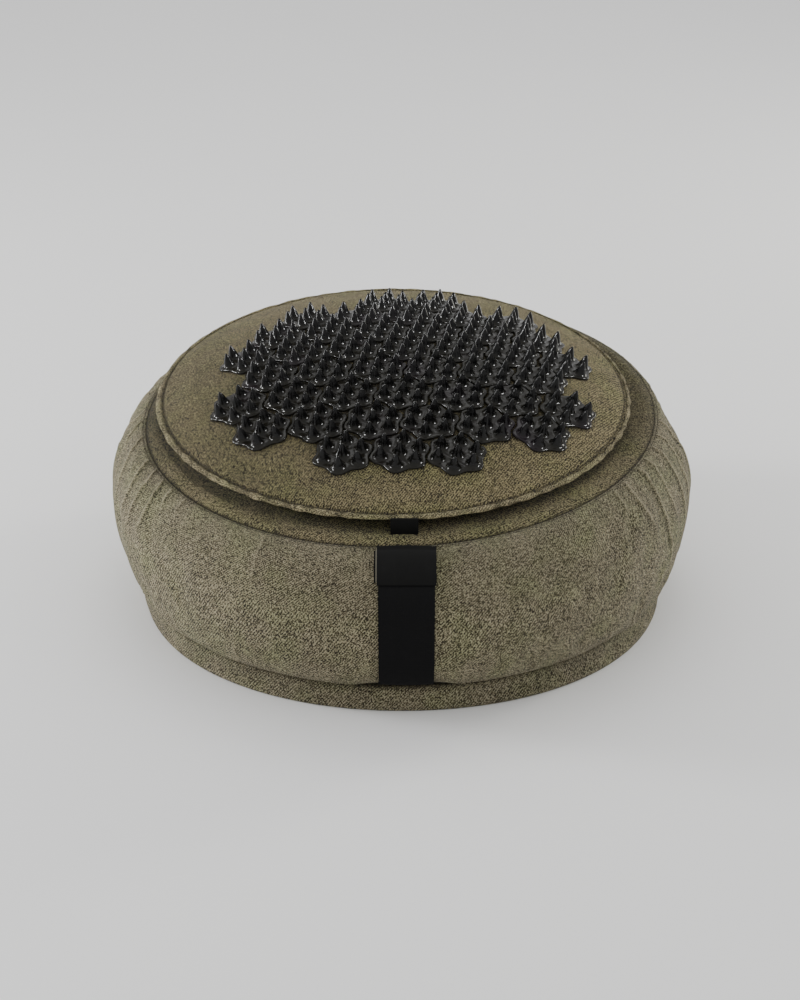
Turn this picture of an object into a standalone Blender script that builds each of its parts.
"""Meditation cushion: a round, buckwheat-filled floor cushion with a carry strap, and a
removable pad on top that carries rows of moulded spike discs. Metres, +Z up. The origin is
under the middle of the cushion, +X is to the right and +Y is away from the strap."""

import math

import bmesh
import bpy
from mathutils import Matrix, Vector

MM = 0.001

# Driving dimensions of the cushion
BULGE_R = 190 * MM          # widest radius, half way up the side
BULGE_Z = 75 * MM
BAND_R = 174.4 * MM         # upright band at the foot, and the bottom seam on it
BOTTOM_SEAM_Z = 17.5 * MM
FOOT_ROUND = 6.4 * MM       # the foot band rolls under to the flat underside
FOOT_R = BAND_R - FOOT_ROUND
TOP_SEAM_R = 166.4 * MM
TOP_SEAM_Z = 125.1 * MM
TOP_RISE_Y = 0.103          # the top leans towards the strap, so it climbs to the back
TOP_RISE_X = 0.029
SEAT_Z = 131.0 * MM         # flat part of the top panel, at its middle
SEAT_R = 130 * MM
CLOTH = 1.4 * MM
GAP = 0.3 * MM
STEPS = 60                  # divisions round each sewn panel
CORE_STEPS = 32             # divisions round the pieces inside

# Pad on top
PAD_X = -4.1 * MM
PAD_INSET = 11.4 * MM       # the pad stops short of the top seam
PAD_R = TOP_SEAM_R - PAD_INSET
PAD_Z = 136.0 * MM          # height of the pad's rim, at its middle
PAD_RISE_Y = 0.107
PAD_RISE_X = 0.002
PAD_CROWN = 30 * MM
PAD_FULL = 14 * MM          # the pad is a little fuller towards its two sides
ROLL_R = 4.2 * MM           # rolled edge of the pad
COVER_R = PAD_R - 2 * ROLL_R - 0.4 * MM
COVER = 1.2 * MM
DOME_SHARES = (0.19, 0.41, 0.62, 0.82, 1.0)

# Spike discs
DISC_PITCH = 34.5 * MM
DISC_ROW_X = 0.9 * MM
FRONT_ROW_Y = -106.5 * MM
ROW_COUNTS = (3, 6, 7, 6, 7, 6, 5, 2)
ROW_STEP = 27.2 * MM
ROW_DRIFT = 0.04            # each row lies a little further to the right than the last
DISC_LOBE_R = 17.2 * MM
DISC_NOTCH_R = 15.0 * MM
DISC_THICK = 1.2 * MM
RING_R = 11.8 * MM          # six spikes stand on this circle, one in the middle
RING_TURN = math.radians(19.1)
SPIKE_R = 4.0 * MM
SPIKE_H = 8.8 * MM

# Strap, label and tab
STRAP_X = 3.8 * MM
STRAP_W = 33 * MM
STRAP_THICK = 1.6 * MM
STRAP_DENT = 2.0 * MM       # how far the snug strap presses into the side
LABEL_W = 34.6 * MM
LABEL_THICK = 0.8 * MM
TAB_X = 2.6 * MM
TAB_W = 16.5 * MM
TAB_THICK = 1.6 * MM

# Zip round the back of the foot band
ZIP_ARC = math.radians(76)
ZIP_MID = math.radians(90)
ZIP_Z = 8.6 * MM
TAPE_DOWN = 2.8 * MM
TAPE_UP = 5.8 * MM


def clear_scene():
    for obj in list(bpy.data.objects):
        bpy.data.objects.remove(obj, do_unlink=True)


def material(name, colour, roughness, metallic=0.0):
    mat = bpy.data.materials.get(name) or bpy.data.materials.new(name)
    mat.use_nodes = True
    shader = mat.node_tree.nodes["Principled BSDF"]
    shader.inputs["Base Color"].default_value = (*colour, 1)
    shader.inputs["Roughness"].default_value = roughness
    shader.inputs["Metallic"].default_value = metallic
    return mat


def canvas():
    return material("heathered_canvas", (0.42, 0.38, 0.27), 0.9)


def webbing():
    return material("black_webbing", (0.035, 0.035, 0.035), 0.8)


def smoky_plastic():
    return material("smoky_plastic", (0.05, 0.05, 0.055), 0.25)


def finish(name, bm, mat, smooth=True):
    """Turns a bmesh into a named object with its faces pointing outwards."""
    bmesh.ops.remove_doubles(bm, verts=bm.verts, dist=1e-6)
    bmesh.ops.recalc_face_normals(bm, faces=bm.faces)
    if bm.calc_volume(signed=True) < 0:
        bmesh.ops.reverse_faces(bm, faces=bm.faces)
    mesh = bpy.data.meshes.new(name)
    bm.to_mesh(mesh)
    bm.free()
    obj = bpy.data.objects.new(name, mesh)
    bpy.context.scene.collection.objects.link(obj)
    obj.data.materials.append(mat)
    if smooth:
        mesh.shade_smooth()
        mesh.set_sharp_from_angle(angle=math.radians(40))
    return obj


def turned(name, rows, mat, ring=False):
    """A closed body through rows of points that all run round the same number of steps.
    A ring's last row joins its first. Otherwise the end rows are filled flat."""
    bm = bmesh.new()
    loops = [[bm.verts.new(point) for point in row] for row in rows]
    count = len(loops[0])
    pairs = list(zip(loops, loops[1:]))
    if ring:
        pairs.append((loops[-1], loops[0]))
    for a, b in pairs:
        for i in range(count):
            j = (i + 1) % count
            bm.faces.new((a[i], a[j], b[j], b[i]))
    if not ring:
        bm.faces.new(loops[0])
        bm.faces.new(loops[-1])
    return finish(name, bm, mat)


def angles(count):
    return [2 * math.pi * i / count for i in range(count)]


def around(radius, height, count, centre_x=0.0):
    """One row of points; radius and height are numbers or functions of the angle."""
    row = []
    for angle in angles(count):
        r = radius(angle) if callable(radius) else radius
        x = r * math.cos(angle)
        y = r * math.sin(angle)
        z = height(x, y) if callable(height) else height
        row.append(Vector((centre_x + x, y, z)))
    return row


def smooth(value):
    value = min(max(value, 0.0), 1.0)
    return value * value * (3 - 2 * value)


# Side of the cushion

def top_seam_z(angle):
    x = TOP_SEAM_R * math.cos(angle)
    y = TOP_SEAM_R * math.sin(angle)
    return TOP_SEAM_Z + TOP_RISE_Y * y + TOP_RISE_X * x


def plain_side(angle, up):
    """Radius, height and outward normal of the side; up runs from 0 at the bottom seam
    through 1 at the bulge to 2 at the top seam."""
    if up <= 1:
        turn = up * math.pi / 2
        wide = BULGE_R - BAND_R
        tall = BULGE_Z - BOTTOM_SEAM_Z
        r = BAND_R + wide * math.sin(turn)
        z = BOTTOM_SEAM_Z + tall * (1 - math.cos(turn))
        along = Vector((wide * math.cos(turn), tall * math.sin(turn)))
    else:
        turn = (up - 1) * math.pi / 2
        wide = BULGE_R - TOP_SEAM_R
        tall = top_seam_z(angle) - BULGE_Z
        r = TOP_SEAM_R + wide * math.cos(turn)
        z = BULGE_Z + tall * math.sin(turn)
        along = Vector((-wide * math.sin(turn), tall * math.cos(turn)))
    along.normalize()
    return r, z, Vector((along.y, -along.x))


def side_fold(angle, up):
    """How far the cloth is drawn in: pleats towards both ends, and under the strap."""
    sideways = abs(math.cos(angle))
    ends = smooth((sideways - 0.45) / 0.45)
    pleat = 2.0 * MM * ends * (0.5 - 0.5 * math.cos(20 * angle))
    fold = pleat * math.sin(up * math.pi / 2) ** 2
    if math.sin(angle) < 0:
        off = abs(BULGE_R * math.cos(angle) - STRAP_X)
        fold += STRAP_DENT * (1 - smooth((off - 20 * MM) / (24 * MM)))
    return fold


def side_point(angle, up, inset):
    r, z, normal = plain_side(angle, up)
    edge = min(up, 2 - up)
    moved = inset + side_fold(angle, up) * smooth(edge / 0.12)
    r -= normal.x * moved
    z -= normal.y * moved
    return Vector((r * math.cos(angle), r * math.sin(angle), z))


def side_row(up, inset, count=STEPS):
    return [side_point(angle, up, inset) for angle in angles(count)]


def side_wall():
    levels = (0.0, 0.3, 0.62, 1.0, 1.38, 1.72, 2.0)
    outer = [side_row(up, 0) for up in levels]
    inner = [side_row(up, CLOTH) for up in reversed(levels)]
    return turned("side_wall", outer + inner, canvas(), ring=True)


# Foot and top panels

def base_panel():
    outside = (
        (FOOT_R, 0),
        (BAND_R - 1.8 * MM, 1.8 * MM),
        (BAND_R, 5.5 * MM),
        (BAND_R, BOTTOM_SEAM_Z - GAP),
    )
    inside = (
        (BAND_R - CLOTH, BOTTOM_SEAM_Z - GAP),
        (BAND_R - CLOTH, 6.2 * MM),
        (BAND_R - 3.4 * MM, 3.0 * MM),
        (FOOT_R - 0.6 * MM, CLOTH),
    )
    rows = [around(r, z, STEPS) for r, z in outside + inside]
    return turned("base_panel", rows, canvas())


def seat_plane(x, y):
    return SEAT_Z + PAD_RISE_Y * y + PAD_RISE_X * x


def top_height(x, y):
    """The top panel climbs from its seam and lies flat under the pad."""
    r = math.hypot(x, y)
    angle = math.atan2(y, x)
    climb = math.sin(min(max((TOP_SEAM_R - r) / (TOP_SEAM_R - SEAT_R), 0), 1) * math.pi / 2)
    return top_seam_z(angle) * (1 - climb) + seat_plane(x, y) * climb


def top_panel():
    span = TOP_SEAM_R - SEAT_R
    radii = (SEAT_R, SEAT_R + 0.36 * span, SEAT_R + 0.69 * span, TOP_SEAM_R - 0.5 * MM)
    upper = [around(r, top_height, STEPS) for r in radii]
    lower = [around(r, lambda x, y: top_height(x, y) - CLOTH, STEPS) for r in reversed(radii)]
    return turned("top_panel", upper + lower, canvas())


# Liner and filling

def core_rows(inset):
    """Rows of the inner bag, this far inside the outer cloth."""
    rows = [
        around(FOOT_R - 4 * MM, inset, CORE_STEPS),
        around(BAND_R - inset - 2 * MM, inset + 3 * MM, CORE_STEPS),
        around(BAND_R - inset, BOTTOM_SEAM_Z + 1.5 * MM, CORE_STEPS),
    ]
    for up in (0.35, 0.66, 1.0, 1.35, 1.7):
        rows.append(side_row(up, inset, CORE_STEPS))
    for r in (TOP_SEAM_R - 9.4 * MM, SEAT_R):
        rows.append(around(r, lambda x, y: top_height(x, y) - inset, CORE_STEPS))
    return rows


def inner_liner():
    mouth_r = 36 * MM
    outside = CLOTH + 0.8 * MM
    inside = outside + 1.0 * MM
    outer = core_rows(outside)
    outer.append(around(mouth_r, lambda x, y: seat_plane(x, y) - outside, CORE_STEPS))
    inner = core_rows(inside)
    inner.append(around(mouth_r, lambda x, y: seat_plane(x, y) - inside, CORE_STEPS))
    cotton = material("cotton", (0.8, 0.77, 0.68), 0.9)
    return turned("inner_liner", outer + inner[::-1], cotton)


def buckwheat_fill():
    rows = core_rows(CLOTH + 0.8 * MM + 1.0 * MM + 0.8 * MM)
    return turned("buckwheat_fill", rows, material("buckwheat_hulls", (0.16, 0.11, 0.07), 0.8))


# Pad

def pad_height(x, y):
    """The pad's upper surface, with x taken from the pad's own middle."""
    inward = 1 - (x * x + y * y) / (PAD_R * PAD_R)
    crown = (PAD_CROWN + PAD_FULL * x * x / (PAD_R * PAD_R)) * inward
    return PAD_Z + PAD_RISE_Y * y + PAD_RISE_X * x + crown


def pad_floor(lift):
    def height(x, y):
        return seat_plane(x + PAD_X, y) + lift
    return height


def pad_under(lift):
    def height(x, y):
        return pad_height(x, y) - lift
    return height


def pad_top_cover():
    radii = [COVER_R * share for share in DOME_SHARES]
    count = 48
    upper = [around(r, pad_under(0), count, PAD_X) for r in radii]
    lower = [around(r, pad_under(COVER), count, PAD_X) for r in reversed(radii)]
    return turned("pad_top_cover", upper + lower, canvas())


def pad_foam():
    radii = [(COVER_R - 0.6 * MM) * share for share in DOME_SHARES]
    clear = COVER + 0.9 * MM
    upper = [around(r, pad_under(clear), CORE_STEPS, PAD_X) for r in radii]
    lower = [around(COVER_R - 0.6 * MM, pad_floor(1.7 * MM), CORE_STEPS, PAD_X)]
    return turned("pad_foam", upper + lower, material("foam", (0.75, 0.74, 0.7), 0.9))


def pad_bottom_cover():
    rows = [
        around(COVER_R, pad_floor(0.4 * MM), 48, PAD_X),
        around(COVER_R, pad_floor(0.4 * MM + 1.0 * MM), 48, PAD_X),
    ]
    return turned("pad_bottom_cover", rows, canvas())


def pad_edge_roll():
    ring_r = PAD_R - ROLL_R
    rows = []
    for turn in angles(8):
        out = ring_r + ROLL_R * math.cos(turn)
        lift = ROLL_R * math.sin(turn)

        def height(x, y, lift=lift):
            return PAD_Z + PAD_RISE_Y * y + PAD_RISE_X * x + lift

        rows.append(around(out, height, 48, PAD_X))
    return turned("pad_edge_roll", rows, canvas(), ring=True)


# Spike discs

def disc_body(bm, place):
    """A six-lobed plate with seven pointed spikes standing on it, all one closed skin."""
    def ring_of(count, radius, height, turn=0.0, centre=(0.0, 0.0)):
        points = []
        for i in range(count):
            angle = turn + 2 * math.pi * i / count
            r = radius(i) if callable(radius) else radius
            points.append(Vector((centre[0] + r * math.cos(angle), centre[1] + r * math.sin(angle), height)))
        return points

    def lobes(i):
        return DISC_LOBE_R if i % 2 == 0 else DISC_NOTCH_R

    low = [bm.verts.new(place @ p) for p in ring_of(12, lobes, 0, RING_TURN)]
    high = [bm.verts.new(place @ p) for p in ring_of(12, lobes, DISC_THICK, RING_TURN)]
    bm.faces.new(low[::-1])
    for i in range(12):
        j = (i + 1) % 12
        bm.faces.new((low[i], low[j], high[j], high[i]))

    def spike(centre, turn):
        foot = ring_of(6, SPIKE_R, DISC_THICK, turn, centre)
        foot = [bm.verts.new(place @ p) for p in foot]
        tip = bm.verts.new(place @ Vector((centre[0], centre[1], DISC_THICK + SPIKE_H)))
        for i in range(6):
            bm.faces.new((foot[i], foot[(i + 1) % 6], tip))
        return foot

    middle = spike((0, 0), RING_TURN)
    feet = []
    for k in range(6):
        angle = RING_TURN + k * math.pi / 3
        centre = (RING_R * math.cos(angle), RING_R * math.sin(angle))
        feet.append(spike(centre, angle))
    # The plate's top is laid between the spikes: foot corner 0 of each points outwards and
    # corner 3 inwards, so each sixth of the plate is filled from the same corners.
    for k in range(6):
        n = (k + 1) % 6
        foot, after = feet[k], feet[n]
        tip, notch, next_tip = high[2 * k], high[2 * k + 1], high[(2 * k + 2) % 12]
        bm.faces.new((tip, notch, foot[1], foot[0]))
        bm.faces.new((notch, next_tip, after[0], after[5]))
        bm.faces.new((foot[1], notch, after[5]))
        bm.faces.new((foot[1], after[5], after[4], foot[2]))
        bm.faces.new((foot[2], after[4], middle[n]))
        bm.faces.new((foot[2], middle[n], middle[k], foot[3]))
        bm.faces.new((after[4], after[3], middle[n]))


def disc_place(x, y):
    """A frame on the pad's upper surface, its Z along the surface's normal."""
    px = x - PAD_X
    near = 0.5 * MM
    slope_x = (pad_height(px + near, y) - pad_height(px - near, y)) / (2 * near)
    slope_y = (pad_height(px, y + near) - pad_height(px, y - near)) / (2 * near)
    up = Vector((-slope_x, -slope_y, 1)).normalized()
    side = Vector((1, 0, slope_x)).normalized()
    ahead = up.cross(side)
    turn = Matrix((side, ahead, up)).transposed().to_4x4()
    foot = Vector((x, y, pad_height(px, y))) + up * 0.35 * MM
    return Matrix.Translation(foot) @ turn


def row_xs(count, y):
    middle = DISC_ROW_X + ROW_DRIFT * (y - FRONT_ROW_Y - ROW_STEP)
    return [middle + (i - (count - 1) / 2) * DISC_PITCH for i in range(count)]


def row_ys():
    return [FRONT_ROW_Y + k * ROW_STEP for k in range(len(ROW_COUNTS))]


def web_between(a, b):
    """A thin runner under the rims of two neighbouring discs of a row."""
    bm = bmesh.new()
    start = a @ Vector((9 * MM, 0, 0.15 * MM))
    end = b @ Vector((-9 * MM, 0, 0.15 * MM))
    along = (end - start).normalized()
    up = (a.to_3x3() @ Vector((0, 0, 1)) + b.to_3x3() @ Vector((0, 0, 1))).normalized()
    across = up.cross(along).normalized()
    corners = []
    for point in (start, end):
        for s, t in ((-1, 0), (1, 0), (1, 1), (-1, 1)):
            corners.append(bm.verts.new(point + across * s * 1.6 * MM + up * t * 0.7 * MM))
    for quad in ((3, 2, 1, 0), (4, 5, 6, 7), (0, 1, 5, 4), (1, 2, 6, 5), (2, 3, 7, 6), (3, 0, 4, 7)):
        bm.faces.new([corners[i] for i in quad])
    return bm


def spike_row(index, y, count):
    """One row of discs. The real discs are welded on one by one; the runners between them
    only make the row one solid."""
    name = f"spike_row_{index + 1}"
    places = [disc_place(x, y) for x in row_xs(count, y)]
    bm = bmesh.new()
    for place in places:
        disc_body(bm, place)
    row = finish(name, bm, smoky_plastic(), smooth=False)
    runners = bmesh.new()
    for a, b in zip(places, places[1:]):
        part = web_between(a, b)
        temp = bpy.data.meshes.new("runner")
        part.to_mesh(temp)
        part.free()
        runners.from_mesh(temp)
        bpy.data.meshes.remove(temp)
    cutter = finish(f"{name}_runners", runners, smoky_plastic(), smooth=False)
    cutter.hide_render = True
    cutter.display_type = "WIRE"
    union = row.modifiers.new("runners", "BOOLEAN")
    union.operation = "UNION"
    union.object = cutter
    return row


# Strap, label and tab

def strip(name, path, x, width, thick, mat):
    """A flat strip that follows a path of (y, z, normal) in a plane across the cushion."""
    rows = []
    for y, z, normal in path:
        out = (y + normal[0] * thick, z + normal[1] * thick)
        rows.append([
            Vector((x - width / 2, y, z)),
            Vector((x + width / 2, y, z)),
            Vector((x + width / 2, *out)),
            Vector((x - width / 2, *out)),
        ])
    return turned(name, rows, mat)


def front_path(start, end, count, clear):
    """Follows the side's front, this far outside the dent that the strap presses in it."""
    path = []
    for i in range(count):
        up = start + (end - start) * i / (count - 1)
        r, z, normal = plain_side(-math.pi / 2, up)
        lift = clear - STRAP_DENT * smooth(min(up, 2 - up) / 0.3)
        y = -(r + normal.x * lift)
        path.append((y, z + normal.y * lift, (-normal.x, normal.y)))
    return path


def carry_strap():
    path = front_path(0.14, 1.9, 15, 0.4 * MM)
    return strip("carry_strap", path, STRAP_X, STRAP_W, STRAP_THICK, webbing())


def strap_label():
    path = front_path(1.36, 1.9, 6, 0.7 * MM + STRAP_THICK)
    satin = material("satin_label", (0.03, 0.03, 0.03), 0.45)
    return strip("strap_label", path, STRAP_X, LABEL_W, LABEL_THICK, satin)


def pull_tab():
    rim_y = -PAD_R
    top_z = PAD_Z + PAD_RISE_Y * rim_y + 1.2 * MM
    y = rim_y - 0.4 * MM - TAB_THICK
    path = [(y, top_z - drop * MM, (1, 0)) for drop in (0, 4.5, 9.0)]
    tab = strip("pull_tab", path, TAB_X, TAB_W, TAB_THICK, webbing())
    pivot = Vector((TAB_X, y + TAB_THICK / 2, top_z))
    tab.data.transform(Matrix.Translation(-pivot))
    tab.location = pivot
    return tab


# Zip

def arc_strip(name, inner_r, thick, low_z, high_z, start, end, count, mat):
    rows = []
    for i in range(count):
        angle = start + (end - start) * i / (count - 1)
        out = Vector((math.cos(angle), math.sin(angle), 0))
        a, b = out * inner_r, out * (inner_r + thick)
        rows.append([
            Vector((a.x, a.y, low_z)),
            Vector((b.x, b.y, low_z)),
            Vector((b.x, b.y, high_z)),
            Vector((a.x, a.y, high_z)),
        ])
    return turned(name, rows, mat)


def zip_tapes():
    start, end = ZIP_MID - ZIP_ARC / 2, ZIP_MID + ZIP_ARC / 2
    dark = material("zip_tape", (0.05, 0.045, 0.04), 0.85)
    inner = BAND_R + GAP
    low, high = ZIP_Z - TAPE_DOWN, ZIP_Z + TAPE_UP
    arc_strip("zip_tape_lower", inner, 0.8 * MM, low, ZIP_Z - GAP / 2, start, end, 19, dark)
    arc_strip("zip_tape_upper", inner, 0.8 * MM, ZIP_Z + GAP / 2, high, start, end, 19, dark)
    teeth = material("zip_teeth", (0.06, 0.055, 0.05), 0.4)
    arc_strip("zip_teeth", inner + 0.8 * MM + GAP, 1.3 * MM, ZIP_Z - 1.8 * MM, ZIP_Z + 1.8 * MM, start, end, 19, teeth)


def slider_and_pull():
    """The slider is parked at the left end of the zip, seen from behind at its right."""
    metal = material("dark_nickel", (0.3, 0.3, 0.31), 0.35, 1.0)
    park = ZIP_MID + ZIP_ARC / 2 - math.radians(3)
    inner = BAND_R + GAP + 0.8 * MM + GAP + 1.3 * MM + 0.4 * MM
    half = math.radians(1.6)
    slider = arc_strip("zip_slider", inner, 2.0 * MM, ZIP_Z - 3 * MM, ZIP_Z + 3 * MM,
                       park - half, park + half, 3, metal)
    out = Vector((math.cos(park), math.sin(park), 0))
    back = Vector((math.sin(park), -math.cos(park), 0))
    pivot = out * (inner + 2.0 * MM + GAP + 0.8 * MM) + Vector((0, 0, ZIP_Z))
    bm = bmesh.new()
    bmesh.ops.create_cube(bm, size=1)
    size = Matrix.Diagonal((18 * MM, 1.2 * MM, 4.6 * MM, 1))
    bmesh.ops.transform(bm, matrix=Matrix.Translation(Vector((9 * MM, 0, 0))) @ size, verts=bm.verts)
    frame = Matrix((back, out, Vector((0, 0, 1)))).transposed().to_4x4()
    bmesh.ops.transform(bm, matrix=frame, verts=bm.verts)
    pull = finish("zip_pull", bm, metal, smooth=False)
    pull.location = pivot
    return slider, pull


def main():
    clear_scene()
    base_panel()
    side_wall()
    top_panel()
    inner_liner()
    buckwheat_fill()
    carry_strap()
    strap_label()
    zip_tapes()
    slider_and_pull()
    pad_bottom_cover()
    pad_foam()
    pad_top_cover()
    pad_edge_roll()
    pull_tab()
    for index, (y, count) in enumerate(zip(row_ys(), ROW_COUNTS)):
        spike_row(index, y, count)


main()
